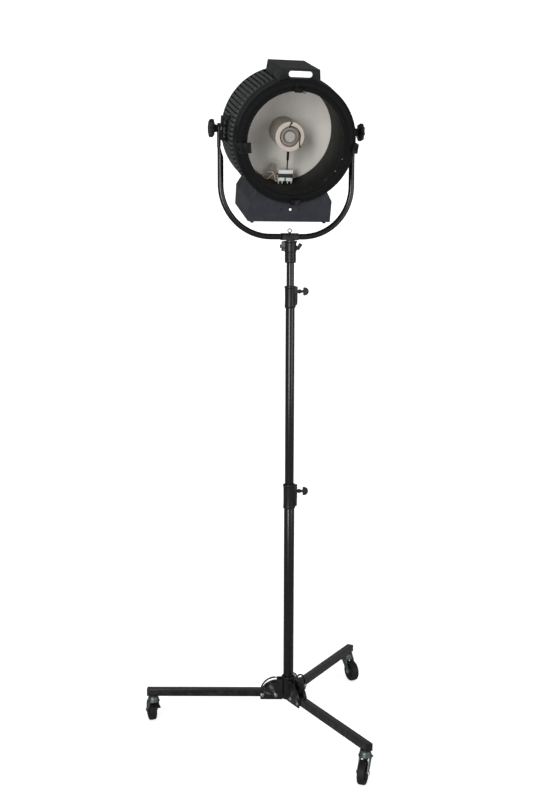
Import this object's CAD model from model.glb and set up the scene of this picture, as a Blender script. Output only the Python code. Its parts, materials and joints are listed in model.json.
"""Par can light on a rolling stand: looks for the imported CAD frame.

Units are metres in the shared frame: +Z up, floor at z = 0, the lamp looks along -Y.
"""
import json
import math

import bmesh
import bpy
from mathutils import Matrix, Vector

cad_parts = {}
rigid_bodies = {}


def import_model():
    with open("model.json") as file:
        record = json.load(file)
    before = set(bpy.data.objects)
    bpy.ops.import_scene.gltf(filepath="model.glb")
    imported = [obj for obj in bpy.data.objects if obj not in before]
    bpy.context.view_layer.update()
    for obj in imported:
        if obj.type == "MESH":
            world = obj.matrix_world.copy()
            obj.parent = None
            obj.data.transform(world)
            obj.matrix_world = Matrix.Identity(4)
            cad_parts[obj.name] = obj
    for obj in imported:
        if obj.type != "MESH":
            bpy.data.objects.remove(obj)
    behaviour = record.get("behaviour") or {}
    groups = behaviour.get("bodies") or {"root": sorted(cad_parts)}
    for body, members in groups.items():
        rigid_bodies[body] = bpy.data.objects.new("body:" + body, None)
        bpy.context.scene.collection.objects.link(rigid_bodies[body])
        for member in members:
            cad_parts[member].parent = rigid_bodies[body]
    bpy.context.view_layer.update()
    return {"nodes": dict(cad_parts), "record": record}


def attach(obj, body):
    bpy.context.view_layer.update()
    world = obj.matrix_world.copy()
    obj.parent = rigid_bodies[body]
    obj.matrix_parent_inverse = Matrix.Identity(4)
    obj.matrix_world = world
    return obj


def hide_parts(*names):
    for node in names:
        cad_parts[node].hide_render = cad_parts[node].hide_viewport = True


for leftover in list(bpy.data.objects):
    bpy.data.objects.remove(leftover)

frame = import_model()
NODES = frame["nodes"]

# ---------------------------------------------------------------- materials


class Shader:
    """A small wrapper for one node material on a Principled BSDF."""

    def __init__(self, name, **sockets):
        self.mat = bpy.data.materials.new(name)
        self.mat.use_nodes = True
        self.tree = self.mat.node_tree
        self.bsdf = self.tree.nodes["Principled BSDF"]
        self.coords = self.node("ShaderNodeTexCoord").outputs["Object"]
        for socket, value in sockets.items():
            self.bsdf.inputs[socket.replace("_", " ")].default_value = value

    def node(self, kind, **props):
        made = self.tree.nodes.new(kind)
        for prop, value in props.items():
            setattr(made, prop, value)
        return made

    def link(self, a, b):
        self.tree.links.new(a, b)

    def stretched(self, scale):
        """Object coordinates scaled along each axis."""
        mapping = self.node("ShaderNodeMapping")
        mapping.inputs["Scale"].default_value = scale
        self.link(self.coords, mapping.inputs["Vector"])
        return mapping.outputs["Vector"]

    def noise(self, scale, detail=3.0, rough=0.55, vector=None):
        made = self.node("ShaderNodeTexNoise")
        made.inputs["Scale"].default_value = scale
        made.inputs["Detail"].default_value = detail
        made.inputs["Roughness"].default_value = rough
        self.link(vector or self.coords, made.inputs["Vector"])
        return made.outputs["Fac"]

    def ramp(self, fac, *stops):
        """stops are (position, colour) pairs; a colour may be one grey number."""
        made = self.node("ShaderNodeValToRGB")
        elements = made.color_ramp.elements
        while len(elements) < len(stops):
            elements.new(0.5)
        for element, (at, colour) in zip(elements, stops):
            element.position = at
            if isinstance(colour, (int, float)):
                colour = (colour, colour, colour)
            element.color = (*colour, 1.0)
        self.link(fac, made.inputs["Fac"])
        return made.outputs["Color"]

    def span(self, fac, low, high):
        made = self.node("ShaderNodeMapRange")
        made.inputs["To Min"].default_value = low
        made.inputs["To Max"].default_value = high
        self.link(fac, made.inputs["Value"])
        return made.outputs["Result"]

    def mix(self, fac, a, b, blend="MIX"):
        made = self.node("ShaderNodeMix", data_type="RGBA", blend_type=blend)
        for socket, value in ((made.inputs[0], fac), (made.inputs[6], a), (made.inputs[7], b)):
            if isinstance(value, bpy.types.NodeSocket):
                self.link(value, socket)
            elif isinstance(value, (int, float)):
                socket.default_value = value
            else:
                socket.default_value = (*value, 1.0)
        return made.outputs[2]

    def edges(self, low=0.52, high=0.62):
        """White on worn convex edges."""
        geometry = self.node("ShaderNodeNewGeometry")
        return self.ramp(geometry.outputs["Pointiness"], (low, 0.0), (high, 1.0))

    def bump(self, height, strength, distance=0.0005, below=None):
        made = self.node("ShaderNodeBump")
        made.inputs["Strength"].default_value = strength
        made.inputs["Distance"].default_value = distance
        self.link(height, made.inputs["Height"])
        if below is not None:
            self.link(below, made.inputs["Normal"])
        self.link(made.outputs["Normal"], self.bsdf.inputs["Normal"])
        return made.outputs["Normal"]

    def color(self, socket):
        self.link(socket, self.bsdf.inputs["Base Color"])

    def rough(self, socket):
        self.link(socket, self.bsdf.inputs["Roughness"])


def scaled(colour, k):
    return tuple(c * k for c in colour)


def paint(name, colour, rough=0.42, grain=900.0, grain_height=0.25, mottle=0.08, worn=(0.20, 0.20, 0.20),
          wear=0.2, spec=0.2):
    """Sprayed paint: fine orange peel, faint blotches and dust, rubbed edges."""
    s = Shader(name, Specular_IOR_Level=spec)
    blotch = s.noise(9.0, 5.0, 0.6)
    base = s.ramp(blotch, (0.3, scaled(colour, 1 - mottle)), (0.7, scaled(colour, 1 + mottle)))
    speck = s.ramp(s.noise(420.0, 2.0), (0.62, 0.0), (0.75, 1.0))
    base = s.mix(s.mix(0.12, (0, 0, 0), speck, "MULTIPLY"), base, scaled(colour, 2.2))
    rub = s.mix(1.0, s.edges(), s.ramp(s.noise(60.0, 4.0), (0.45, 0.0), (0.62, wear)), "MULTIPLY")
    s.color(s.mix(rub, base, worn))
    s.rough(s.span(s.noise(35.0, 4.0), rough - 0.03, rough + 0.04))
    s.bump(s.noise(grain, 3.0), grain_height, 0.0002)
    return s.mat


def cast(name, colour, rough=0.5):
    """Die casting: coarser skin than sheet paint, with bright corners."""
    s = Shader(name, Specular_IOR_Level=0.35)
    base = s.ramp(s.noise(22.0, 6.0, 0.65), (0.3, scaled(colour, 0.75)), (0.7, scaled(colour, 1.35)))
    rub = s.mix(1.0, s.edges(0.53, 0.66), s.ramp(s.noise(90.0, 3.0), (0.4, 0.0), (0.6, 0.45)), "MULTIPLY")
    s.color(s.mix(rub, base, (0.22, 0.22, 0.22)))
    s.rough(s.span(s.noise(70.0, 4.0), rough - 0.08, rough + 0.1))
    s.bump(s.noise(520.0, 5.0, 0.7), 0.4, 0.0003)
    return s.mat


def plastic(name, colour, rough=0.4, grain=1400.0, height=0.2):
    s = Shader(name, Specular_IOR_Level=0.3)
    base = s.ramp(s.noise(30.0, 3.0), (0.3, scaled(colour, 0.85)), (0.7, scaled(colour, 1.2)))
    scuff = s.ramp(s.noise(160.0, 6.0, 0.7), (0.6, 0.0), (0.8, 0.35))
    s.color(s.mix(scuff, base, scaled(colour, 2.5)))
    s.rough(s.span(s.noise(90.0, 3.0), rough - 0.06, rough + 0.1))
    s.bump(s.noise(grain, 2.0), height, 0.0002)
    return s.mat


def metal(name, colour, rough=0.3, stretch=(1, 1, 1), grain=300.0, height=0.15, tarnish=0.3, bare=1.0):
    s = Shader(name, Metallic=bare)
    streaks = s.noise(grain, 4.0, 0.6, s.stretched(stretch))
    cloud = s.noise(40.0, 5.0, 0.6)
    base = s.ramp(cloud, (0.3, scaled(colour, 1 - tarnish)), (0.7, colour))
    s.color(s.mix(s.ramp(streaks, (0.4, 0.0), (0.7, 0.25)), base, scaled(colour, 1.15)))
    s.rough(s.span(streaks, rough - 0.06, rough + 0.12))
    s.bump(streaks, height, 0.0002)
    return s.mat


def dish_metal():
    """Half-bright anodised sheet: even, slightly warm, faint mottling and streaks."""
    s = Shader("dish_metal", Metallic=0.25, Specular_IOR_Level=0.3)
    mottle = s.ramp(s.noise(26.0, 5.0, 0.6), (0.3, (0.565, 0.545, 0.50)), (0.7, (0.61, 0.59, 0.54)))
    streaks = s.ramp(s.noise(60.0, 4.0, 0.6, s.stretched((1.0, 0.25, 0.08))), (0.4, 0.0), (0.75, 0.35))
    base = s.mix(streaks, mottle, (0.68, 0.655, 0.60))
    # one brown stain low on the left
    near = s.node("ShaderNodeVectorMath", operation="DISTANCE")
    near.inputs[1].default_value = (-0.042, 0.088, 1.903)
    s.link(s.coords, near.inputs[0])
    reach = s.node("ShaderNodeMapRange")
    reach.inputs["From Min"].default_value = 0.036
    reach.inputs["From Max"].default_value = 0.008
    s.link(near.outputs["Value"], reach.inputs["Value"])
    patch = s.ramp(s.noise(70.0, 4.0, 0.7), (0.35, 0.0), (0.6, 0.75))
    s.color(s.mix(s.mix(1.0, patch, reach.outputs["Result"], "MULTIPLY"), base, (0.19, 0.16, 0.09)))
    s.rough(s.span(s.noise(40.0, 4.0), 0.42, 0.6))
    s.bump(s.noise(120.0, 4.0), 0.25, 0.0004)
    return s.mat


MAT = {
    "satin_head": paint("head_paint", (0.026, 0.031, 0.031), 0.46, 700.0, 0.3),
    "front_ring": paint("ring_paint", (0.0040, 0.0041, 0.0045), 0.44, 800.0, 0.3, wear=0.12, spec=0.12),
    "inner_wall": paint("inner_wall_paint", (0.0066, 0.0070, 0.0064), 0.58, 500.0, 0.4, spec=0.08),
    "cover": paint("cover_paint", (0.0085, 0.0093, 0.0098), 0.5, 650.0, 0.4, spec=0.16),
    "box_paint": paint("box_paint", (0.0175, 0.0195, 0.0245), 0.5, 650.0, 0.35, spec=0.16),
    "core": cast("core_metal", (0.05, 0.05, 0.05), 0.6),
    "stand_paint": paint("stand_paint", (0.0026, 0.0028, 0.0033), 0.24, 900.0, 0.02, mottle=0.06, wear=0.05,
                         spec=0.5),
    "casting": cast("casting_black", (0.0044, 0.0047, 0.0054), 0.36),
    "black_plastic": plastic("black_plastic", (0.0065, 0.0065, 0.0070), 0.42),
    "switch_red": plastic("switch_red", (0.30, 0.02, 0.012), 0.25, 900.0, 0.1),
    "reflector": metal("reflector_metal", (0.66, 0.64, 0.61), 0.34),
    "sleeve": metal("sleeve_metal", (0.47, 0.42, 0.365), 0.5, tarnish=0.15, bare=0.35),
    "spring_steel": metal("spring_steel", (0.10, 0.085, 0.07), 0.45),
    "bolt": metal("bolt_zinc", (0.45, 0.46, 0.47), 0.3),
    "zinc": metal("fork_zinc", (0.145, 0.165, 0.165), 0.44),
    "wheel_rubber": plastic("wheel_rubber", (0.0055, 0.0055, 0.006), 0.6, 600.0, 0.35),
    "lamp_ceramic": plastic("lamp_ceramic", (0.66, 0.64, 0.60), 0.5, 300.0, 0.3),
    "lamp_glass": plastic("lamp_glass", (0.80, 0.79, 0.75), 0.2, 200.0, 0.05),
    "wire": plastic("wire_sleeve", (0.60, 0.49, 0.41), 0.6, 900.0, 0.5),
}

for part in frame["record"]["subparts"]:
    mesh = NODES[part["node"]].data
    mesh.materials.clear()
    mesh.materials.append(MAT[part["material_slot"]])

MAT.update({
    "dish": dish_metal(),
    "dark_wire": metal("dark_wire", (0.05, 0.043, 0.04), 0.5),
    "clamp_steel": metal("clamp_steel", (0.10, 0.14, 0.15), 0.4),
    "envelope": plastic("envelope", (0.10, 0.095, 0.085), 0.2, 200.0, 0.03),
    "lamp_cap": plastic("lamp_cap", (0.27, 0.25, 0.235), 0.4, 300.0, 0.1),
    "lamp_ring": plastic("lamp_ring", (0.12, 0.115, 0.11), 0.4, 300.0, 0.2),
    "wire_white": plastic("wire_white", (0.66, 0.64, 0.60), 0.6, 900.0, 0.5),
    "wire_copper": plastic("wire_copper", (0.56, 0.42, 0.34), 0.5, 900.0, 0.5),
    "socket_ring": plastic("socket_ring", (0.19, 0.165, 0.145), 0.5, 500.0, 0.2),
    "plate_white": plastic("plate_white", (0.86, 0.86, 0.85), 0.4, 300.0, 0.05),
    "dark_bolt": metal("dark_bolt", (0.035, 0.035, 0.038), 0.45),
    "lens": plastic("lens", (0.80, 0.80, 0.78), 0.15, 300.0, 0.05),
    "void": plastic("void", (0.003, 0.003, 0.003), 0.8, 300.0, 0.05),
    "wheel_centre": plastic("wheel_centre", (0.0085, 0.0085, 0.0092), 0.42, 700.0, 0.25),
})

# ---------------------------------------------------------------- mesh tools

MM = 0.001


def rot(degrees, axis):
    return Matrix.Rotation(math.radians(degrees), 4, axis)


def spin(degrees):
    return rot(degrees, "Z")


def at(x, y, z):
    return Matrix.Translation((x, y, z))


def polar(radius, degrees):
    """The two coordinates of a point on a circle."""
    return radius * math.cos(math.radians(degrees)), radius * math.sin(math.radians(degrees))


def move(bm, matrix, start=0):
    """Takes the corners added since start through a matrix."""
    bm.verts.ensure_lookup_table()
    for v in bm.verts[start:]:
        v.co = matrix @ v.co


# Driving dimensions in mm, as in the CAD source
YOKE_X, PIVOT_Z = -13.0, 2012.0
HEAD_TILT = 17
AXIS_DROP = 12  # the lamp axis passes this far below the tilt axis
SHEET = 2.2  # sheet of the hood and the box
SEAT_R = 190.2  # radius that the hood and the box sit on
FRONT_Z = 118  # front face of the hood and the box, along the lamp axis
PILOT_Y = -216.5
LATCH_PIN = (-14, 172, 0)
SADDLE_Z, LEVER_Z = 1673.0, 1636
KNOB_AZIMUTH = -14.0
LEG_HOLES, LEG_PIVOT_Z = (43, 90), 107  # along the leg from the column; height
CASTER_OUT = 468
AXLE_X, AXLE_Z = 28, 37
PEDAL_X, PEDAL_Z = -6, 71.5
LEGS = {"front": (286.8, -122.0), "left": (166.8, 96.0), "rear": (406.8, -76.0)}  # azimuth, caster yaw

# Frames from mm to the scene: upright, upright at the tilt axis, tilted with the head, and along the
# lamp axis (x sideways, y up, z forward)
UPRIGHT = Matrix.Scale(MM, 4)
AT_PIVOT = UPRIGHT @ at(YOKE_X, 0, PIVOT_Z)
IN_HEAD = AT_PIVOT @ rot(HEAD_TILT, "X")
ON_AXIS = IN_HEAD @ at(0, 0, -AXIS_DROP) @ rot(90, "X")


def add_body(name, bm, body, slot, place=UPRIGHT, look=None, replaces=None, bevel=0.0, segments=2,
             smooth=40.0):
    """Turns a bmesh in mm into an object on a CAD body; look is a material other than the slot's."""
    bmesh.ops.remove_doubles(bm, verts=bm.verts, dist=1e-4)
    bmesh.ops.recalc_face_normals(bm, faces=bm.faces)
    mesh = bpy.data.meshes.new(name)
    bm.to_mesh(mesh)
    bm.free()
    mesh.transform(place)
    mesh.materials.append(MAT[look or slot])
    obj = bpy.data.objects.new(name, mesh)
    bpy.context.scene.collection.objects.link(obj)
    if bevel:
        mod = obj.modifiers.new("bevel", "BEVEL")
        mod.width = bevel * MM
        mod.segments = segments
        mod.limit_method = "ANGLE"
        mod.angle_limit = math.radians(35)
        mod.harden_normals = True
    mesh.polygons.foreach_set("use_smooth", [True] * len(mesh.polygons))
    mesh.set_sharp_from_angle(angle=math.radians(smooth))
    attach(obj, body)
    if replaces:
        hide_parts(replaces)


def on_head(name, bm, slot, look=None, **more):
    add_body(name, bm, "head", slot, ON_AXIS, look, **more)


def lathe(profile, steps, a0=0.0, span=360.0, bm=None):
    """Solid of (radius, z) points turned about z; closes itself unless it runs from axis to axis."""
    bm = bm or bmesh.new()
    full = abs(span - 360) < 1e-6
    closed = max(profile[0][0], profile[-1][0]) > 1e-6
    rings = []
    for k in range(steps if full else steps + 1):
        angle = a0 + span * k / steps
        rings.append([bm.verts.new((*polar(r, angle), z)) for r, z in profile])
    count = len(profile)
    for k in range(steps):
        one, two = rings[k], rings[(k + 1) % len(rings)]
        for j in range(count if closed else count - 1):
            i = (j + 1) % count
            quad = [one[j], two[j], two[i], one[i]]
            if profile[j][0] < 1e-6:
                quad = [one[j], two[i], one[i]]
            elif profile[i][0] < 1e-6:
                quad = [one[j], two[j], one[i]]
            if profile[j][0] > 1e-6 or profile[i][0] > 1e-6:
                bm.faces.new(quad)
    if closed and not full:
        bm.faces.new(rings[0])
        bm.faces.new(list(reversed(rings[-1])))
    return bm


def rounded(points, radius, steps=4, closed=True):
    """Rounds the corners of a 2-D outline."""
    out = []
    count = len(points)
    for k, p in enumerate(points):
        here = Vector(p)
        if not closed and k in (0, count - 1):
            out.append(tuple(p))
            continue
        before, after = Vector(points[k - 1]), Vector(points[(k + 1) % count])
        a, b = before - here, after - here
        cut = min(radius, 0.45 * a.length, 0.45 * b.length)
        start, end = here + a.normalized() * cut, here + b.normalized() * cut
        for j in range(steps + 1):
            t = j / steps
            out.append(tuple((1 - t) ** 2 * start + 2 * t * (1 - t) * here + t * t * end))
    return out


def spun(profile, radius, fillet, steps, turn=None, bm=None):
    """Lathe of a profile whose corners are rounded, but not where it starts and ends on the axis."""
    bm = bm or bmesh.new()
    start = len(bm.verts)
    lathe(rounded(profile, radius, fillet, max(profile[0][0], profile[-1][0]) > 1e-6), steps, bm=bm)
    move(bm, turn or Matrix(), start)
    return bm


def block(bm, x, y, z, turn=None):
    """Box between two corners, given as (low, high) on each axis."""
    made = bmesh.ops.create_cube(bm, size=1.0)["verts"]
    size = Vector((x[1] - x[0], y[1] - y[0], z[1] - z[0]))
    mid = Vector((x[0] + x[1], y[0] + y[1], z[0] + z[1])) / 2
    for v in made:
        v.co = (turn or Matrix()) @ (Vector((v.co[i] * size[i] for i in range(3))) + mid)


def prism(bm, outline, z0, z1, holes=(), turn=None):
    """Plate of a 2-D outline between two heights, with holes."""
    start = len(bm.verts)
    edges = []
    for loop in [outline, *holes]:
        verts = [bm.verts.new((x, y, z0)) for x, y in loop]
        edges += [bm.edges.new((verts[k], verts[(k + 1) % len(verts)])) for k in range(len(verts))]
    filled = bmesh.ops.triangle_fill(bm, use_beauty=True, edges=edges)["geom"]
    faces = [g for g in filled if isinstance(g, bmesh.types.BMFace)]
    made = bmesh.ops.extrude_face_region(bm, geom=faces, use_keep_orig=True)["geom"]
    for v in made:
        if isinstance(v, bmesh.types.BMVert):
            v.co.z += z1 - z0
    move(bm, turn or Matrix(), start)


def circle(cx, cy, r, steps=32, a0=0.0, span=360.0):
    full = abs(span - 360) < 1e-6
    points = [polar(r, a0 + span * k / steps) for k in range(steps if full else steps + 1)]
    return [(cx + x, cy + y) for x, y in points]


def bridge(bm, rings):
    """Skin between rings of corners, closed at both ends."""
    for one, two in zip(rings, rings[1:]):
        for j in range(len(one)):
            i = (j + 1) % len(one)
            bm.faces.new((one[j], one[i], two[i], two[j]))
    bm.faces.new(rings[0][::-1])
    bm.faces.new(rings[-1])


def sweep(bm, path, radius, steps=24):
    """Round wire or tube along a path; radius may be a number or a function of the fraction along it."""
    points = [Vector(p) for p in path]
    count = len(points)
    tangents = [(points[min(k + 1, count - 1)] - points[max(k - 1, 0)]).normalized() for k in range(count)]
    side = tangents[0].orthogonal().normalized()
    rings = []
    for k, (p, t) in enumerate(zip(points, tangents)):
        side = (side - t * side.dot(t)).normalized()
        up = t.cross(side)
        r = radius(k / (count - 1)) if callable(radius) else radius
        spokes = [polar(r, 360 * j / steps) for j in range(steps)]
        rings.append([bm.verts.new(p + u * side + w * up) for u, w in spokes])
    bridge(bm, rings)


def smooth_path(points, per=8):
    """Catmull-Rom curve through the points."""
    pts = [Vector(p) for p in points]
    pts = [2 * pts[0] - pts[1], *pts, 2 * pts[-1] - pts[-2]]
    out = []
    for k in range(1, len(pts) - 2):
        a, b, c, d = pts[k - 1:k + 3]
        for j in range(per):
            t = j / per
            bend, twist = 2 * a - 5 * b + 4 * c - d, 3 * b - a - 3 * c + d
            out.append(0.5 * (2 * b + (c - a) * t + bend * t * t + twist * t ** 3))
    return out + [pts[-2]]


def pan_head(bm, x, y, z, r, h, turn=None, slot=True):
    """Domed screw head standing on the plane z, with a cross recess."""
    profile = [(0, z), (r, z), (r, z + 0.35 * h), (0.86 * r, z + 0.75 * h), (0.5 * r, z + 0.95 * h),
               (0, z + h)]
    start = len(bm.verts)
    lathe(profile, 24, bm=bm)
    if slot:
        for a in (0, 90):
            recess = (z + 0.95 * h, z + 1.06 * h)
            block(bm, (-0.55 * r, 0.55 * r), (-0.1 * r, 0.1 * r), recess, spin(a + 20))
    move(bm, (turn or Matrix()) @ at(x, y, 0), start)


def hex_head(bm, x, y, z, r, h, turn=None):
    start = len(bm.verts)
    prism(bm, circle(x, y, r, 6), z, z + h)
    move(bm, turn or Matrix(), start)


def screws_on_side(bm, places, z, r, h):
    """Screws standing on both sides; places are (x, y, z), mirrored in x."""
    for x, y, along in places:
        for s in (-1, 1):
            pan_head(bm, 0, 0, z, r, h, at(s * x, y, along) @ rot(90 * s, "Y"))


# ---------------------------------------------------------------- lamp head

def build_drum():
    bm = spun([(186.5, -98), (190.6, -98), (190.6, -94), (189.5, -92), (189.5, 66), (190.6, 68),
               (190.6, 71.8), (186.5, 71.8)], 1.2, 3, 192)
    on_head("drum_shell", bm, "satin_head", replaces="drum")
    bm = bmesh.new()
    for k in range(84):
        a = (k + 0.5) * 360 / 84
        if abs(a - 90) < 22.5 or abs(a - 270) < 47.5:
            continue
        bracket = abs(a - 176) < 14.5 or abs(a - 4) < 14.5 or abs(a - 364) < 14.5
        turn = spin(a) @ rot(90, "X")
        for z0, z1 in ((-94, -22), (22, 66)) if bracket else ((-94, 66),):
            outline = rounded([(188.8, z0), (198, z0), (198, z1 - 3), (188.8, z1)], 2.0, 3)
            prism(bm, outline, -5.0, 5.0, turn=turn)
    on_head("drum_fins", bm, "satin_head", bevel=1.8, segments=3, replaces="drum")
    lip = [(188.2, -98), (197.6, -98), (198.6, -97), (198.6, -93.6), (197.8, -93), (188.2, -93)]
    bm = lathe(rounded(lip, 0.6, 3), 150, -50, 280)
    on_head("drum_rim", bm, "front_ring", replaces="drum")
    # rivets round the drum just behind the ring
    bm = bmesh.new()
    for a in (36, 54, 126, 144, 198, 216, 324, 342):
        turn = spin(a) @ at(190.4, 0, 69.5) @ rot(90, "Y")
        pan_head(bm, 0, 0, -0.4, 1.7, 1.1, turn, False)
    on_head("drum_rivets", bm, "satin_head")


def build_ring():
    outline = [(186.5, 72.2), (190.4, 72.2), (190.9, 76), (190.9, 111.5), (190.0, 113.4), (187.8, 114.4),
               (187.8, 117.0), (190.4, 118.2), (193.5, 119.6), (193.5, 130.2), (192.2, 131.9), (187.6, 131.9),
               (186.6, 129.6), (183.2, 129.6), (182.2, 131.6), (169.0, 131.6), (167.0, 127.4), (155.6, 127.4),
               (155.0, 126.6), (155.0, 124.4), (169, 124.4), (171, 127.6), (180.5, 127.6), (186.5, 122)]
    bm = spun(outline, 0.7, 3, 256)
    on_head("ring", bm, "front_ring", replaces="bezel")
    bm = bmesh.new()
    pan_head(bm, *polar(165.5, 70), 127.4, 2.4, 1.8)
    for a in (147, 162, 25, -75, -120, 110):
        pan_head(bm, *polar(162, a), 127.2, 2.4, 1.8)
    for a in (70, 160, 250, 340):
        pan_head(bm, *polar(176, a), 131.4, 2.6, 1.7)
    on_head("ring_screws", bm, "bolt", "dark_bolt")
    bm = bmesh.new()
    for a in (-18, -33):
        pan_head(bm, *polar(162, a), 127.2, 1.9, 1.4)
    on_head("bright_screws", bm, "bolt")
    # pin that the latch turns on
    bm = spun([(0, 131), (1.95, 131), (1.95, 141), (0, 141)], 0.4, 2, 24, turn=at(*LATCH_PIN))
    on_head("latch_pin", bm, "bolt", "dark_bolt")


def build_inner():
    bm = spun([(160, -44), (162, -44), (162, 121.5), (168, 121.5), (168, 124), (161, 124), (160, 123)],
              0.6, 2, 192)
    on_head("inner_wall", bm, "inner_wall", replaces="barrel")
    steps = 40
    hole, edge = 45.2, 159.5
    front, back = [], []
    for k in range(steps + 1):
        r = hole + (edge - hole) * k / steps
        z = -46 - 17 * (1 - (r / 160) ** 2)
        front.append((r, z))
        back.append((r, z - 1.4))
    bm = lathe([*front, (186, -46.2), (186, -47.6), *back[::-1]], 256)
    on_head("reflector_dish", bm, "reflector", "dish", replaces="reflector")


def build_lamp():
    bm = spun([(45, -80), (45, 38), (47.6, 40.5), (47.6, 43.4), (46.8, 44.6), (33.4, 44.6), (32.6, 43.4),
               (33.4, 42.2), (43, 42), (43, -80)], 0.8, 4, 128)
    on_head("sleeve_tube", bm, "sleeve", replaces="lamp_sleeve")
    bm = lathe([(0, -70), (15.5, -70), (15.5, -44), (23, -40), (23.6, -38), (23.6, 22), (23.2, 27),
                (21.8, 31), (19.6, 34.5), (0, 34.5)], 96)
    on_head("lamp_envelope", bm, "lamp_glass", "envelope", replaces="lamp")
    bm = spun([(0, 49.6), (13.5, 49.6), (16.8, 48.4), (17.6, 46), (17.6, 34), (0, 34)], 0.8, 3, 96)
    on_head("lamp_cap", bm, "lamp_ceramic", "lamp_cap", replaces="lamp")
    bm = spun([(17.8, 36), (20.6, 36), (20.6, 46.6), (19.6, 47.6), (17.8, 47.6)], 0.6, 3, 96)
    on_head("lamp_collar", bm, "lamp_ceramic", "lamp_ring")
    bm = spun([(27, 30), (43.2, 30), (43.2, 35.6), (33.4, 35.6), (33, 36.6), (27, 36.6)], 0.6, 3, 96)
    spun([(21.2, 30), (28, 30), (28, 40.6), (27, 41.6), (21.2, 41.6)], 0.6, 3, 96, bm=bm)
    on_head("lamp_steps", bm, "lamp_ceramic", "socket_ring")
    bm = bmesh.new()
    arc = [(*polar(33.4, a), 45.9) for a in range(-16, 97, 4)]
    tail = [(34.6, -30, 46.2), (33.0, -19, 46)]
    sweep(bm, smooth_path([*tail, *arc], 3), lambda t: 1.7 if t < 0.45 else 1.1, 12)
    on_head("spring_wire", bm, "spring_steel", "dark_wire", replaces="lamp_spring")
    bm = bmesh.new()
    sweep(bm, [(-6.2, 29.5, 46.2), (1.8, 44.0, 46.2)], 1.7, 12)
    block(bm, (-1.5, 4.5), (41, 46.2), (44.4, 48))
    block(bm, (32, 37.5), (-32.5, -27.5), (44.4, 48))
    on_head("spring_ends", bm, "spring_steel", "dark_wire", bevel=0.6)


def build_block():
    foot, knee, top = Vector((8.6, -114, 2)), Vector((5.0, -79, 16)), Vector((1.2, -45, 30))
    bm = bmesh.new()
    path = [foot.lerp(knee, t / 12) for t in range(12)] + [knee.lerp(top, t / 12) for t in range(13)]
    sweep(bm, path, lambda t: 2.2 if t < 0.48 else (3.9 if t < 0.97 else 4.6), 20)
    on_head("support_rod", bm, "spring_steel", "dark_wire", replaces="post")
    bm = bmesh.new()
    block(bm, (-21, 27), (-125.8, -114.5), (-12.5, 12.5))
    block(bm, (-18, 24), (-139.5, -125.8), (-9, 9))
    for low, high in ((-21, 0.5), (5.5, 27)):
        block(bm, (low, high), (-150.6, -139.5), (-12.5, 12.5))
    on_head("block_ceramic", bm, "lamp_ceramic", bevel=0.9, replaces="terminal_block")
    bm = bmesh.new()
    for low, high in ((-12.6, -9.4), (9.4, 12.6)):
        block(bm, (-21, 27), (-138.2, -127.0), (low, high))
    for x in (-17, -4, 10, 23):
        pan_head(bm, x, -132.5, 12.4, 2.0, 1.3)
    on_head("block_clamps", bm, "spring_steel", "clamp_steel", bevel=0.4, replaces="terminal_legs")
    bm = bmesh.new()
    for x in (-18.5, -6, 12, 24.5):
        block(bm, (x - 1.4, x + 1.4), (-159, -150.4), (4, 9))
    on_head("block_pins", bm, "lamp_ceramic", bevel=0.4)
    bm = bmesh.new()
    for x in (-13, 19):
        for y in (-120, -145):
            pan_head(bm, x, y, 12.3, 2.2, 1.0)
    on_head("block_screws", bm, "lamp_ceramic")
    bm = bmesh.new()
    sweep(bm, smooth_path([(-21, -129, 8), (-34, -131, 8), (-33, -148, 8), (-21, -149, 8)], 8), 0.9, 10)
    on_head("block_loop", bm, "spring_steel", "dark_wire")
    wires = (
        ("wire_copper", 1.3, "wire_copper",
         [(-19, -135, 6), (-31, -129.5, 6), (-43, -132, 8), (-57, -142, 16), (-64, -143, 6), (-70, -140, -12),
          (-76, -136, -46)]),
        ("wire_white", 1.5, "wire",
         [(-19, -150, 8), (-29, -150.5, 8), (-33, -137, 8), (-39.5, -123.5, 6), (-55.5, -123, 0),
          (-70, -136.5, -10), (-80, -134, -26), (-84, -130, -48)]),
        ("wire_white_2", 1.5, "wire_white",
         [(26.5, -133, 3), (34, -137, 0), (39, -142, -8), (40, -145, -20), (38, -146, -46)]),
    )
    for name, r, look, path in wires:
        bm = bmesh.new()
        sweep(bm, smooth_path(path, 8), r, 12)
        on_head(name, bm, "wire", look, replaces="lead_wires")


def drum_edge(half, steps, gap):
    """Points from +half to -half across the drum, at a height that clears it by the gap."""
    xs = [half - 2 * half * k / steps for k in range(steps + 1)]
    return [(x, math.sqrt(SEAT_R ** 2 - x * x) + gap) for x in xs]


def slab(x0, x1, y0, y1, radius, fillet=4):
    """Rectangle with rounded corners."""
    return rounded([(x0, y0), (x1, y0), (x1, y1), (x0, y1)], radius, fillet)


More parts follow.
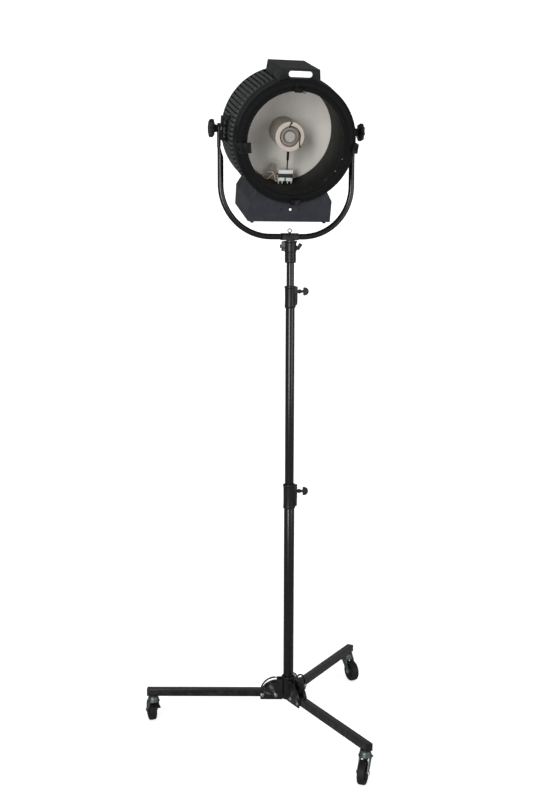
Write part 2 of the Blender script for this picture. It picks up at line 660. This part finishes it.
def build_hood():
    half, low, top = 61.5, 178, 220.5
    foot = half + 7.0 * (top - low) / 60.5  # the sides flare downwards
    outline = [(-half, top), (half, top), *drum_edge(foot, 24, 0.2)]
    bm = bmesh.new()
    prism(bm, outline, FRONT_Z - SHEET, FRONT_Z)
    prism(bm, outline, -79, -79 + SHEET,
          holes=[slab(x - 3, x + 3, 195, 213, 2.8) for x in range(-40, 41, 16)])
    on_head("hood_ends", bm, "cover", bevel=0.6, replaces="hood")
    # wrapped sheet over the top and both sides
    bm = bmesh.new()
    outer = [(-foot, low), (-half, top), (half, top), (foot, low)]
    under = top - SHEET
    inner = [(foot - SHEET, low), (half - SHEET, under), (SHEET - half, under), (SHEET - foot, low)]
    bent = rounded(outer, 4.0, 5, closed=False) + rounded(inner, 3.0, 5, closed=False)
    prism(bm, bent, -78.6, FRONT_Z - 0.4)
    on_head("hood_wrap", bm, "cover", bevel=0.4, replaces="hood")
    bm = bmesh.new()
    for x in (-50, 50):
        for y in (196, 211):
            pan_head(bm, x, y, FRONT_Z, 2.4, 1.5)
    screws_on_side(bm, [(64.2, 203, z) for z in (-66, 20, 104)], -0.6, 2.4, 1.5)
    on_head("hood_screws", bm, "black_plastic")
    # blank white plate with rounded ends
    bm = bmesh.new()
    ends = circle(28, 204, 9, 20, -90, 180) + circle(-28, 204, 9, 20, 90, 180)
    prism(bm, ends, FRONT_Z, FRONT_Z + 1.2)
    on_head("hood_plate", bm, "lamp_ceramic", "plate_white", bevel=0.4)


def build_box():
    half, shoulder, low = 136.5, -189.0, -255.0
    neck, neck_y = 114.5, -152.3
    seat = [(x, -y) for x, y in drum_edge(neck, 40, 0.2)]
    outline = [(-half, shoulder), (-half, low), (half, low), (half, shoulder), *seat]
    bm = bmesh.new()
    prism(bm, outline, FRONT_Z - SHEET, FRONT_Z)
    inlet = circle(62, -228, 12.8, 32)
    frame_hole = [(-68.2, -234.7), (-47.8, -234.7), (-47.8, -221.3), (-68.2, -221.3)]
    slits = [slab(x - 1.6, x + 1.6, -247, -212, 1.5, 3) for x in range(-30, 31, 10)]
    prism(bm, outline, -106, -106 + SHEET, holes=[inlet, frame_hole, *slits])
    on_head("box_ends", bm, "box_paint", bevel=0.6, replaces="box")
    bm = bmesh.new()
    for s in (-1, 1):
        outer = [(s * neck, neck_y), (s * half, shoulder), (s * half, low + 0.2)]
        inside = s * (half - SHEET)
        inner = [(inside, low + 0.2), (inside, shoulder + 0.5), (s * (neck - 1), neck_y - 1.5)]
        bent = rounded(outer, 4, 5, closed=False) + rounded(inner, 3, 5, closed=False)
        prism(bm, bent, -105.6, FRONT_Z - 0.4)
    on_head("box_sides", bm, "box_paint", bevel=0.4, replaces="box")
    bm = bmesh.new()
    block(bm, (-half, half), (-257.5, -255.1), (-106, FRONT_Z))
    on_head("box_tray", bm, "box_paint", bevel=0.7, replaces="box_base")
    bm = bmesh.new()
    screws_on_side(bm, [(half, -246.5, z) for z in (-92, 6, 104)], -0.1, 2.6, 1.3)
    for x in (-28, 28):
        pan_head(bm, x, PILOT_Y, FRONT_Z - 0.1, 3.3, 1.5)
    on_head("box_screws", bm, "black_plastic")
    bm = bmesh.new()
    block(bm, (-55, 55), (-254.8, -208), (-60, 40))
    on_head("ballast_core", bm, "core", bevel=1.0)
    bm = bmesh.new()
    for x in (-120, 120):
        for z in (-92, 104):
            turn = at(x, -257.5, z) @ rot(90, "X")
            spun([(0, 0), (7, 0), (6.6, 3), (5.4, 6.9), (2.4, 6.9), (2.0, 5.6), (0, 5.6)], 0.6, 3, 32,
                 turn=turn, bm=bm)
    on_head("box_feet", bm, "black_plastic")
    # pilot light: dark ring and pale lens
    bm = spun([(4.4, 117.6), (7.4, 117.6), (7.4, 119.2), (6.0, 120.2), (4.4, 119.6)], 0.4, 2, 48,
              turn=at(0, PILOT_Y, 0))
    on_head("pilot_ring", bm, "black_plastic", replaces="box_fittings")
    bm = lathe([(0, 121.0), (1.6, 120.8), (3.2, 120.2), (4.3, 119.0), (4.3, 116), (0, 116)], 32)
    move(bm, at(0, PILOT_Y, 0))
    on_head("pilot_lens", bm, "lamp_glass", "lens")


def build_rear():
    """Power inlet and switch frame on the box's rear face."""
    bm = spun([(10.6, -115), (12.5, -115), (12.5, -108.6), (16.8, -108.6), (16.8, -106.1), (10.6, -106.1)],
              0.5, 2, 64)
    lathe([(0, -97.5), (0, -99), (10.6, -99), (10.6, -97.5)], 48, bm=bm)
    for a in (90, 210, 330):
        pin = polar(5, a)
        sweep(bm, [(*pin, -99), (*pin, -110)], 1.5, 12)
    move(bm, at(62, -228, 0))
    for x in ((-71, -68.2), (-47.8, -45)):
        block(bm, x, (-237.5, -218.5), (-108, -106.05))
    for y in ((-237.4, -234.7), (-221.3, -218.6)):
        block(bm, (-68.6, -47.4), y, (-107.9, -106.1))
    on_head("rear_fittings", bm, "black_plastic", bevel=0.3, replaces="box_fittings")
    bm = bmesh.new()
    prism(bm, slab(-9, 9, -5.9, 5.9, 1.0, 3), -4.0, 1.4, turn=at(-58, -228, -106) @ rot(8, "Y"))
    add_body("rocker_cap", bm, "power_switch", "switch_red", ON_AXIS, bevel=0.5, replaces="rocker")
    # rear cover: rounded pressing with louvre slots and a centre boss
    shell = [(186.6, -98.2), (189.5, -98.2), (189.8, -100), (188.4, -104), (178, -115), (166, -127),
             (157, -134), (148, -137), (60, -138.4), (56, -139.6), (55, -143), (20, -144.2), (14, -146.6),
             (0, -146.8)]
    inner = [(0, -144.6), (20, -142), (53, -140.6), (60, -136.2), (146, -134.8), (186.6, -103)]
    bm = lathe(rounded(shell, 1.5, 3, closed=False) + inner, 192)
    on_head("rear_shell", bm, "cover", replaces="rear_cover")
    bm = bmesh.new()
    dark = bmesh.new()
    for k in range(24):
        a = 7.5 + 15 * k
        prism(bm, slab(80, 132, -4.2, 4.2, 3.8), -139.4, -137.4, turn=spin(a),
              holes=[slab(83, 129, -2, 2, 1.9)])
        prism(dark, slab(83, 129, -2.1, 2.1, 1.9), -138.4, -137.2, turn=spin(a))
    on_head("rear_louvres", bm, "cover", bevel=0.5)
    on_head("rear_slots", dark, "inner_wall", "void")
    bm = bmesh.new()
    for k in range(8):
        pan_head(bm, *polar(147, 45 * k + 22.5), 0, 3.0, 1.8)
    move(bm, at(0, 0, -136.6) @ rot(180, "X"))
    on_head("rear_screws", bm, "bolt")


def build_front_clips():
    bm = bmesh.new()
    for a, foot, reach in ((-4, 7.0, 184.0), (-87, 3.0, 180.0)):
        turn = spin(a)
        block(bm, (193.5, 193.5 + foot), (-15, 15), (119, 144), turn)
        block(bm, (reach, 194.5), (-15, 15), (141, 144), turn)
    turn = spin(187)
    block(bm, (146, 173), (-16.5, 16.5), (141, 144), turn)
    block(bm, (170.1, 172.9), (-16.4, 16.4), (132.2, 142), turn)
    block(bm, (170, 190), (-16.5, 16.5), (132, 134.5), turn)
    on_head("clip_plates", bm, "front_ring", bevel=1.0, replaces="clips")
    bm = bmesh.new()
    for a, r in ((-4, 200.4), (-87, 196.4)):
        for y in (-9, 9):
            pan_head(bm, 0, 0, 0, 2.6, 1.5, spin(a) @ at(r, y, 128) @ rot(90, "Y"))
    on_head("clip_screws", bm, "bolt", "dark_bolt")
    bm = bmesh.new()
    plate = [(-20, 151.5), (6, 151.5), (6, 164), (-8.6, 164.5), (-8.6, 172), (-19.4, 172), (-20, 163)]
    prism(bm, rounded(plate, 3.0, 4), 132.5, 136.2)
    boss = spun([(2.1, 132.5), (5, 132.5), (5, 138.6), (2.1, 139.2)], 0.4, 2, 32, turn=at(*LATCH_PIN))
    add_body("latch_boss", boss, "top_latch", "front_ring", ON_AXIS)
    add_body("latch_plate", bm, "top_latch", "front_ring", ON_AXIS, bevel=0.7, replaces="latch")
    bm = bmesh.new()
    ring = [(12.4 + x, 156 + y, 134.8) for x, y in (polar(5.2, 15 * k) for k in range(25))]
    sweep(bm, ring, 1.5, 12)
    add_body("latch_ring", bm, "top_latch", "front_ring", ON_AXIS)


def build_tilt_gear():
    """Side channels on the drum, bolts and lobed knobs."""
    bm = bmesh.new()
    for s in (-1, 1):
        flip = Matrix.Scale(s, 4, (1, 0, 0))
        block(bm, (212, 216), (-18, 18), (-36, 38), flip)
        for z in (-36, 34):
            block(bm, (184.8 if z > 0 else 188, 214), (-18, 18), (z, z + 4), flip)
    add_body("side_channels", bm, "head", "front_ring", IN_HEAD, bevel=1.0, replaces="brackets")
    bm = bmesh.new()
    screws_on_side(bm, [(216, y, z) for y in (-11, 11) for z in (-28, 30)], -0.1, 2.2, 1.3)
    add_body("channel_screws", bm, "head", "bolt", IN_HEAD, "dark_bolt")
    bm = bmesh.new()
    for s in (-1, 1):
        side = rot(90 * s, "Y")
        start = len(bm.verts)
        spun([(0, 206), (5, 206), (5, 248.9), (4.0, 249.9), (0, 249.9)], 0.5, 2, 32, bm=bm)
        spun([(4.6, 216.1), (12, 216.1), (12, 218.9), (4.6, 218.9)], 0.5, 2, 48, bm=bm)
        hex_head(bm, 0, 0, 205.2, 8.6, 6.6)
        move(bm, side, start)
    add_body("tilt_studs", bm, "head", "bolt", IN_HEAD, bevel=0.4, replaces="tilt_bolts")
    # each grip is lofted through rings (x, scale, depth of the eight lobes), the last three dished inwards
    grip, steps = 26.2, 96
    sections = [(239.2, 0.70, 1.4), (239.8, 0.86, 2.8), (241.4, 0.96, 2.8), (243.6, 1.0, 2.8), (251, 1.0, 2.8),
                (253.8, 0.96, 2.8), (255.2, 0.88, 2.8), (255.9, 0.76, 1.4), (255.4, 0.68, 0), (253.8, 0.60, 0),
                (253.4, 0.40, 0)]
    for s, name in ((-1, "left"), (1, "right")):
        bm = bmesh.new()
        rings = []
        for x, scale, lobe in sections:
            angles = [360 * j / steps for j in range(steps)]
            radii = [scale * (grip + polar(lobe, 8 * a)[0]) for a in angles]
            rings.append([bm.verts.new((x, *polar(r, a))) for r, a in zip(radii, angles)])
        bridge(bm, rings)
        hub = spun([(5.1, 228.6), (11.0, 228.6), (11.8, 231), (12.6, 236), (15, 240.2), (5.1, 240.2)],
                   0.8, 3, 64, turn=rot(90, "Y"))
        flip = IN_HEAD @ Matrix.Scale(s, 4, (1, 0, 0))
        for piece, made in (("grip", bm), ("hub", hub)):
            add_body(f"knob_{piece}_{name}", made, f"{name}_tilt_knob", "black_plastic", flip,
                     replaces=f"tilt_knob_{name}")


def build_yoke():
    half, bend, drop, radius = 218.5, 165.0, 339.0, 9.5
    u0, w0 = half - bend, bend - drop
    path = [(half, 0, -50), (half, 0, -60)]
    path += [(half, 0, -60 - (114 * k / 8)) for k in range(1, 8)]
    path += [(u0 + x, 0, w0 - y) for x, y in (polar(bend, 3 * k) for k in range(31))]
    path += [(u0 * (1 - 2 * k / 8), 0, -drop) for k in range(1, 8)]
    left = [(-x, y, z) for x, y, z in reversed(path[:-7])]
    bm = bmesh.new()
    sweep(bm, path + left, radius, 40)
    # the tube is pressed flat towards each end
    for v in bm.verts:
        z, s = v.co.z, (1 if v.co.x > 0 else -1)
        if z > -92:
            t = min(1.0, max(0.0, (z + 92) / 34))
            t = t * t * (3 - 2 * t)
            u = abs(v.co.x) - half
            v.co.x = s * (half + u * (1 - 0.53 * t) + 5.0 * t)
            v.co.y *= 1 + 0.36 * t
    add_body("yoke_tube", bm, "yoke_frame", "stand_paint", AT_PIVOT, replaces="yoke")
    bm = bmesh.new()
    for s in (-1, 1):
        outline = [(-13, -58), (13, -58)] + circle(0, 4, 13, 24, 0, 180)
        turn = Matrix.Scale(s, 4, (1, 0, 0)) @ spin(90) @ rot(90, "X")
        prism(bm, outline, 219.4, 227.9, holes=[circle(0, 0, 5.05, 32)], turn=turn)
    add_body("yoke_tabs", bm, "yoke_frame", "stand_paint", AT_PIVOT, bevel=1.6, segments=3, replaces="yoke")
    # saddle clamp and safety eye
    bm = bmesh.new()
    prism(bm, rounded([(-17, -11.4), (17, -11.4), (17, 3), (12.5, 11.4), (-12.5, 11.4), (-17, 3)], 2.2, 4),
          -27, 27, holes=[circle(0, 0, 9.55, 40)], turn=at(-3, 0, SADDLE_Z) @ spin(90) @ rot(90, "X"))
    add_body("saddle_clamp", bm, "yoke_frame", "casting", bevel=0.8, replaces="saddle")
    bm = bmesh.new()
    for x in (-24, 18):
        for y in (-14.2, 14.2):
            hex_head(bm, x, y, SADDLE_Z + 3.6, 3.0, 4.6)
    add_body("saddle_bolts", bm, "yoke_frame", "bolt", look="dark_bolt", bevel=0.3)
    bm = bmesh.new()
    sweep(bm, [(x - 3, 0, 1692.5 + z) for x, z in (polar(6.1, 12 * k) for k in range(31))], 1.5, 14)
    spun([(0, 1684.5), (4.4, 1684.5), (4.4, 1686), (2.2, 1687.2), (0, 1687.4)], 0.3, 2, 24,
         turn=at(-3, 0, 0), bm=bm)
    add_body("eye_ring", bm, "yoke_frame", "bolt", look="dark_bolt", replaces="safety_eye")


def build_column():
    tubes = (("lower_tube", 17.5, 1.75, 96, 808, "base"), ("mid_tube", 15, 1.8, 700, 1473, "mid_mast"),
             ("upper_tube", 12.5, 1.6, 880, 1608, "top_mast"))
    for name, radius, wall, low, high, body in tubes:
        bm = spun([(radius - wall, low), (radius, low), (radius, high), (radius - wall, high)], 0.4, 2, 96)
        add_body(name + "_skin", bm, body, "stand_paint", replaces=name)
    collars = (
        (2, 764, 848, 808, 17.5, 15.05, 20, 824, 787, "base", "lower_clamp_knob"),
        (1, 1440, 1513, 1473, 15, 12.55, 17.8, 1495, 1466, "mid_mast", "upper_clamp_knob"),
    )
    for level, z0, z1, step, r_low, r_high, body_r, knob_z, bolt_z, body, knob in collars:
        node = f"collar_{level}"
        turn = UPRIGHT @ spin(KNOB_AZIMUTH)
        outer = [(r_low, z0), (body_r - 1.6, z0), (body_r + 0.4, z0 + 3), (body_r + 0.6, z0 + 7),
                 (body_r, z0 + 10), (body_r - 0.4, z0 + 30), (body_r, z1 - 9), (body_r + 1.4, z1 - 7),
                 (body_r + 1.4, z1 - 1.5), (body_r, z1), (r_high, z1), (r_high, step), (r_low, step)]
        bm = spun(outer, 1.0, 3, 96)
        add_body(f"{node}_body", bm, body, "casting", turn, replaces=node)
        bm = bmesh.new()
        for low, high in ((-11.0, -1.0), (1.0, 11.0)):
            outline = rounded([(body_r - 3, z0 + 7), (body_r + 6, z0 + 12), (body_r + 6.8, knob_z - 12),
                               (body_r - 3, knob_z - 10)], 2.5, 4)
            prism(bm, outline, low, high, turn=rot(90, "X"))
        add_body(f"{node}_lugs", bm, body, "casting", turn, bevel=1.2, segments=3, replaces=node)
        bm = bmesh.new()
        prism(bm, slab(knob_z - z1 + 2, 11, -11, 11, 3), body_r - 4, body_r + 6.9,
              holes=[circle(0, 0, 4.1, 32)], turn=at(0, 0, knob_z) @ rot(90, "Y"))
        add_body(f"{node}_boss", bm, body, "casting", turn, bevel=1.0, segments=3, replaces=node)
        bm = bmesh.new()
        x = body_r + 2.2
        lay = at(x, 0, bolt_z) @ rot(90, "X")
        sweep(bm, [(x, -13, bolt_z), (x, 13, bolt_z)], 2.5, 16)
        pan_head(bm, 0, 0, 11.1, 4.4, 3.4, lay)
        hex_head(bm, 0, 0, -15.0, 4.5, 3.8, lay)
        add_body(f"{node}_fastener", bm, body, "bolt", turn, "dark_bolt", bevel=0.3, replaces=f"{node}_bolt")
        build_t_knob(f"t_knob_{level}", body_r, knob_z, knob)


def build_t_knob(node, x, knob_z, body):
    turn = UPRIGHT @ spin(KNOB_AZIMUTH) @ at(0, 0, knob_z)
    shank = [(0, x - 4), (4, x - 4), (4, x + 7.3), (5.4, x + 7.5), (6.9, x + 10.5), (7.2, x + 13),
             (6.6, x + 16.5), (4.6, x + 19.6), (4.2, x + 22), (5.2, x + 25), (0, x + 27)]
    bm = spun(shank, 1.0, 3, 48, turn=rot(90, "Y"))
    add_body(f"{node}_shank", bm, body, "black_plastic", turn, replaces=node)
    bm = bmesh.new()
    face = [point for point in circle(x + 30, 0, 13.3, 48) if point[0] > x + 23.4]
    prism(bm, face, -5.3, 5.3, turn=rot(90, "X"))
    add_body(f"{node}_wing", bm, body, "black_plastic", turn, bevel=2.4, segments=4, replaces=node)


def build_socket():
    turn = UPRIGHT @ spin(KNOB_AZIMUTH)
    profile = [(12.5, 1588), (17.4, 1588), (18.3, 1590), (18.3, 1621), (19.5, 1624), (19.5, 1652),
               (21.5, 1655), (21.5, 1659.8), (14.05, 1659.8), (14.05, 1612), (9, 1612), (9, 1608),
               (12.5, 1608)]
    bm = spun(profile, 0.9, 3, 96)
    add_body("socket_barrel", bm, "top_mast", "casting", turn, replaces="socket")
    along = rot(90, "Y")
    bm = spun([(4.1, 17), (8, 17), (8, 21.5), (7.2, 22.5), (4.1, 22.5)], 0.6, 3, 48,
              turn=at(0, 0, LEVER_Z) @ along)
    lug = [(-29.8, 1626.2), (-16.5, 1626.2), (-16.5, 1658.8), (-27, 1658.8), (-29.8, 1655)]
    prism(bm, rounded(lug, 2.0, 4), -8.8, 8.8, turn=rot(90, "X"))
    # two ribs round the barrel
    for z in (1600, 1612):
        spun([(18, z - 1.6), (19, z - 1), (19, z + 1), (18, z + 1.6)], 0.4, 2, 96, bm=bm)
    add_body("socket_bosses", bm, "top_mast", "casting", turn, replaces="socket")
    bm = bmesh.new()
    lay = at(0, 0, 1642) @ rot(-90, "Y")
    hex_head(bm, 0, 0, 29.9, 6, 4.8, lay)
    start = len(bm.verts)
    lathe([(0, 14.8), (2.9, 14.8), (2.9, 30.5), (0, 30.5)], 24, bm=bm)
    move(bm, lay, start)
    add_body("socket_setscrew", bm, "top_mast", "bolt", turn, "dark_bolt", bevel=0.4, replaces="socket_bolt")
    bm = spun([(0, 15), (3.9, 15), (3.9, 22.8), (6.4, 23), (6.5, 27.5), (5.2, 29.6), (0, 29.9)], 0.6, 3, 40,
              turn=along)
    arm = smooth_path([(26, 0, 0), (28.6, 0, 4.4), (31, 0, 8.6), (34, 0, 12.8), (35, 0, 14.2)], 5)
    sweep(bm, arm, lambda t: 5.6 + 0.9 * t, 20)
    add_body("socket_paddle", bm, "spigot_lever", "black_plastic", turn @ at(0, 0, LEVER_Z), bevel=1.0,
             replaces="socket_lever")


def build_hub():
    barrel = [(0, 92), (21.5, 92), (22.5, 93.5), (22.5, 162), (24, 165), (24, 170), (22.4, 172), (17.5, 172),
              (17.5, 96), (0, 96)]
    bm = lathe(rounded(barrel, 0.8, 4), 96)
    add_body("hub_barrel", bm, "base", "casting", replaces="hub")
    pivot = (LEG_HOLES[0], LEG_PIVOT_Z)
    for name, (azimuth, _) in LEGS.items():
        bm = bmesh.new()
        notch = [(39.8, 162), (40.6, 160.2), (43, 159.4), (45.4, 160.2), (46.4, 161.8)]
        arc = [p for p in circle(*pivot, 55, 40, 90, -105.8) if p[0] > 48 and p[1] > 92]
        outline = [(20, 162), *notch, *arc, (96.0, 92), (20, 92)]
        slot = circle(*pivot, 50.4, 24, -3, 96) + circle(*pivot, 43.6, 24, 93, -96)
        for low in (12.9, -16.9):
            prism(bm, outline, low, low + 4, holes=[slot, circle(*pivot, 3.05, 24)], turn=rot(90, "X"))
        add_body(f"cheeks_{name}", bm, "base", "casting", UPRIGHT @ spin(azimuth), bevel=0.7, replaces="hub")


def build_leg(name, azimuth):
    place = UPRIGHT @ spin(azimuth)
    body = f"{name}_leg"
    along = spin(90) @ rot(90, "X")
    bm = bmesh.new()
    outer = slab(-12.5, 12.5, 100, 125, 2.4, 5)
    prism(bm, outer, 37, 486, holes=[slab(-10.5, 10.5, 102, 123, 1.2)], turn=along)
    # slanted inner end
    for v in bm.verts:
        if v.co.x < 60:
            v.co.x += max(0.0, v.co.z - 117) * 0.8
    add_body(f"leg_{name}_tube", bm, body, "stand_paint", place, replaces=f"leg_{name}", smooth=30)
    bm = bmesh.new()
    prism(bm, outer, 486.1, 489, turn=along)
    prism(bm, slab(-10.4, 10.4, 102.1, 122.9, 1.2), 446, 486.2, turn=along)
    add_body(f"leg_{name}_cap", bm, body, "black_plastic", place, bevel=0.8, replaces=f"leg_plug_{name}")
    bm = bmesh.new()
    for x in LEG_HOLES:
        for s in (-1, 1):
            lay = at(x, 0, LEG_PIVOT_Z) @ rot(90 * s, "X")
            spun([(0, 12.6), (2.9, 12.6), (2.9, 17.3), (7, 17.5), (7, 18.8), (5.6, 19.2), (5.2, 20.6),
                  (3.6, 22.0), (0, 22.6)], 0.5, 3, 32, turn=lay, bm=bm)
    add_body(f"leg_{name}_fasteners", bm, body, "bolt", place, replaces=f"leg_bolts_{name}")


def build_caster(name, azimuth, yaw):
    place = UPRIGHT @ spin(azimuth) @ at(CASTER_OUT, 0, 0) @ spin(yaw - azimuth)
    fork, wheel, brake = f"{name}_fork", f"{name}_wheel", f"{name}_brake"
    # swivel head
    bm = spun([(0, 78), (21.8, 78), (22, 79.5), (22, 81), (20.5, 82.5), (19.6, 84), (19.2, 88), (17.4, 93),
               (17, 94.4), (17, 98.4), (15.6, 99.4), (6, 99.4), (6, 117.6), (0, 117.8)], 0.5, 3, 64)
    add_body(f"swivel_{name}", bm, fork, "zinc", place, replaces=f"fork_{name}")
    bm = bmesh.new()
    outline = rounded([(-14.5, 80.5), (-14.5, 68), (18.5, 36), (20.5, 31), (24, 28), (32, 28), (36, 31),
                       (37.5, 36), (36.5, 41), (17, 71), (15, 80.5)], 3.5, 5)
    for low in (-17.5, 14.5):
        prism(bm, outline, low, low + 3, holes=[circle(PEDAL_X, PEDAL_Z, 2.55, 24)], turn=rot(90, "X"))
    add_body(f"fork_{name}_sides", bm, fork, "zinc", place, bevel=1.1, segments=3, replaces=f"fork_{name}")
    bm = bmesh.new()
    for s in (-1, 1):
        lay = at(AXLE_X, 0, AXLE_Z) @ rot(90 * s, "X")
        start = len(bm.verts)
        spun([(0, 14), (3.9, 14), (3.9, 17.5), (6.8, 17.5), (6.8, 18.2), (0, 18.4)], 0.2, 2, 32, bm=bm)
        prism(bm, circle(0, 0, 5.8, 6, 15), 18.2, 20.9)
        move(bm, lay, start)
    sweep(bm, [(AXLE_X, y, AXLE_Z) for y in (-14.2, 14.2)], 3.95, 24)
    add_body(f"axle_{name}", bm, fork, "bolt", place, bevel=0.4, replaces=f"fork_{name}")
    # wheel: moulded tread, web with ribs, hub
    lay = at(AXLE_X, 0, AXLE_Z) @ rot(90, "X")
    tread = [(28.6, -10.5), (33.6, -12), (36.2, -10.2), (37, -7.5), (37, 7.5), (36.2, 10.2), (33.6, 12),
             (28.6, 10.5), (28.0, 0)]
    bm = spun(tread, 1.4, 4, 128)
    add_body(f"tyre_{name}", bm, wheel, "wheel_rubber", place @ lay, replaces=f"wheel_{name}")
    web = [(4.1, -13.9), (8.4, -13.9), (10.6, -12.8), (11.2, -9), (14, -7.6), (25, -7.2), (27.2, -10.2),
           (28.7, -10.6), (28.7, 10.6), (27.2, 10.2), (25, 7.2), (14, 7.6), (11.2, 9), (10.6, 12.8),
           (8.4, 13.9), (4.1, 13.9)]
    bm = spun(web, 0.8, 3, 96)
    for k in range(8):
        for z in (-10.2, 7.0):
            block(bm, (10.8, 27), (-1.1, 1.1), (z, z + 3.2), spin(45 * k))
    add_body(f"wheel_{name}_centre", bm, wheel, "wheel_rubber", place @ lay, "wheel_centre", bevel=0.5,
             replaces=f"wheel_{name}")
    # brake pedal
    bm = bmesh.new()
    at_pin = at(PEDAL_X, 0, PEDAL_Z)
    tip = at_pin @ rot(-14, "Y")
    block(bm, (-12, -1), (-13.4, 13.4), (-1.6, 1.6), tip)
    block(bm, (-26, -11), (-18, 18), (-1.6, 1.6), tip)
    for k in range(4):
        block(bm, (-24.6 + 3.4 * k, -23.2 + 3.4 * k), (-16, 16), (1.4, 2.3), tip)
    block(bm, (0, 9.5), (-8, 8), (-1.5, 1.5), at_pin @ rot(70, "Y"))
    sweep(bm, [tip @ Vector((-26, y, 0)) for y in (-18, -9, 0, 9, 18)], 2.6, 16)
    add_body(f"brake_{name}_lever", bm, brake, "black_plastic", place, bevel=0.8, replaces=f"pedal_{name}")
    bm = bmesh.new()
    sweep(bm, [(PEDAL_X, y, PEDAL_Z) for y in (-18, 18)], 2.45, 20)
    add_body(f"brake_{name}_pin", bm, brake, "bolt", place, bevel=0.3, replaces=f"pedal_{name}")


build_drum()
build_ring()
build_inner()
build_lamp()
build_block()
build_hood()
build_box()
build_rear()
build_front_clips()
build_tilt_gear()
build_yoke()
build_column()
build_socket()
build_hub()
for leg_name, (leg_azimuth, caster_yaw) in LEGS.items():
    build_leg(leg_name, leg_azimuth)
    build_caster(leg_name, leg_azimuth, caster_yaw)

# ---------------------------------------------------------------- studio


def cyclorama():
    """Floor that curves up into a wall behind the object."""
    profile = [(-9.0, 0.0), (4.0, 0.0)]
    profile += [(4.0 + y, 2.0 + z) for y, z in (polar(2.0, 7.5 * k - 90) for k in range(1, 13))]
    profile += [(6.0, 9.0)]
    verts = [(x, y, z) for y, z in profile for x in (-12.0, 12.0)]
    faces = [(2 * k, 2 * k + 1, 2 * k + 3, 2 * k + 2) for k in range(len(profile) - 1)]
    mesh = bpy.data.meshes.new("studio_floor")
    mesh.from_pydata(verts, [], faces)
    for face in mesh.polygons:
        face.use_smooth = True
    obj = bpy.data.objects.new("studio_floor", mesh)
    bpy.context.scene.collection.objects.link(obj)
    s = Shader("studio_paper", Roughness=0.9, Specular_IOR_Level=0.1, Emission_Color=(1, 1, 1, 1),
               Emission_Strength=0.58)
    s.color(s.ramp(s.noise(1.5, 3.0), (0.3, 0.86), (0.7, 0.88)))
    mesh.materials.append(s.mat)
    obj.visible_glossy = False


def area_light(name, place, target, size, power):
    data = bpy.data.lights.new(name, "AREA")
    data.shape = "RECTANGLE"
    data.size, data.size_y = size
    data.energy = power
    obj = bpy.data.objects.new(name, data)
    obj.location = place
    obj.rotation_euler = (Vector(target) - Vector(place)).to_track_quat("-Z", "Y").to_euler()
    bpy.context.scene.collection.objects.link(obj)


def camera():
    """The photograph's view: 13 degrees round to the lamp's right-hand side, a little downwards."""
    data = bpy.data.cameras.new("camera")
    data.lens = 48.33
    data.sensor_width = 36.0
    data.clip_end = 60.0
    obj = bpy.data.objects.new("camera", data)
    turn, pitch, roll = spin(-13.128), rot(90 - 7.856, "X"), spin(0.164)
    obj.matrix_world = at(-0.8593, -3.4466, 1.6238) @ turn @ pitch @ roll
    bpy.context.scene.collection.objects.link(obj)
    bpy.context.scene.camera = obj


cyclorama()
area_light("key", (-2.8, -4.2, 2.1), (0, 0, 1.5), (1.3, 3.0), 185)
area_light("fill", (3.0, -3.4, 2.0), (0, 0, 1.3), (2.6, 2.6), 60)
camera()

world = bpy.data.worlds.new("studio")
world.use_nodes = True
background = world.node_tree.nodes["Background"].inputs
background["Color"].default_value = (1.0, 1.0, 1.0, 1.0)
background["Strength"].default_value = 0.28
bpy.context.scene.world = world
bpy.context.scene.view_settings.view_transform = "Standard"
